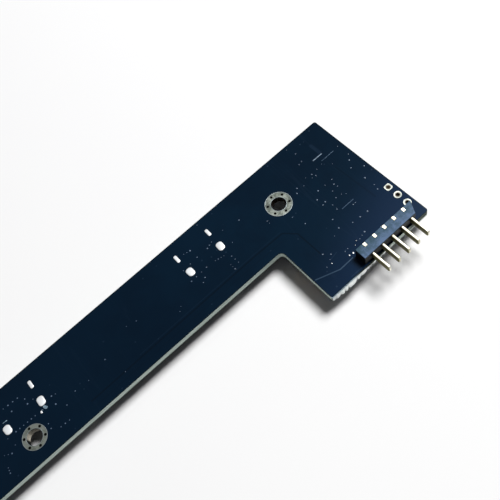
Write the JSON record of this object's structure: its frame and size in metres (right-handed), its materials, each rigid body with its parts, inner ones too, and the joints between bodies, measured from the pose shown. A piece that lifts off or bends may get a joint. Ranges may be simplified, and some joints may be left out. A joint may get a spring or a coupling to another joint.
{
  "type": "printer extruder board",
  "caption": "L-shaped circuit board lying solder side up, with plated mounting holes, a right-angle pin header, serial pads, and receptacles, controller and power parts below.",
  "frame": {"origin": "centre of the head's mounting hole, in the plane of the solder face", "axes": "+X along the arm towards the head's end, +Y towards the long straight edge, +Z out of the solder face"},
  "size_m": [0.097, 0.0359, 0.0074],
  "materials": {
    "laminate": "navy solder mask over pale glass-fibre laminate",
    "tinned_copper": "tinned copper, satin",
    "solder": "bright solder",
    "header_moulding": "smooth black moulding",
    "header_tin": "tinned brass",
    "port_steel": "bright nickel-plated steel",
    "port_moulding": "black moulding",
    "contact_gold": "gold flash",
    "package_moulding": "fine matt black epoxy",
    "lead_tin": "matt tin",
    "ferrite": "grey pressed iron powder",
    "crystal_ceramic": "tan ceramic",
    "crystal_metal": "brushed lid",
    "resistor_body": "black glazed top on white ceramic",
    "capacitor_body": "tan ceramic",
    "light_body": "pale yellow resin"
  },
  "bodies": {
    "root": {"board": "laminate", "capacitor_bodies": "capacitor_body", "capacitor_ends": "lead_tin", "controller_body": "package_moulding", "controller_leads": "lead_tin", "converter_body": "package_moulding", "converter_leads": "lead_tin", "crystal_base": "crystal_ceramic", "crystal_lid": "crystal_metal", "diode_body": "package_moulding", "diode_leads": "lead_tin", "end_port_contacts": "contact_gold", "end_port_insulator": "port_moulding", "end_port_shell": "port_steel", "end_port_solder": "solder", "end_surge_array_body": "package_moulding", "end_surge_array_leads": "lead_tin", "header_contacts": "header_tin", "header_housing": "header_moulding", "header_solder": "solder", "inductor_core": "ferrite", "inductor_terminals": "lead_tin", "mid_port_contacts": "contact_gold", "mid_port_insulator": "port_moulding", "mid_port_shell": "port_steel", "mid_port_solder": "solder", "mid_surge_array_body": "package_moulding", "mid_surge_array_leads": "lead_tin", "mounting_lands": "tinned_copper", "power_capacitor_bodies": "capacitor_body", "power_capacitor_ends": "lead_tin", "regulator_body": "package_moulding", "regulator_leads": "lead_tin", "resistor_bodies": "resistor_body", "resistor_ends": "lead_tin", "serial_pads": "tinned_copper", "status_light_bodies": "light_body", "status_light_ends": "lead_tin", "transceiver_body": "package_moulding", "transceiver_leads": "lead_tin"}
  },
  "joints": []
}
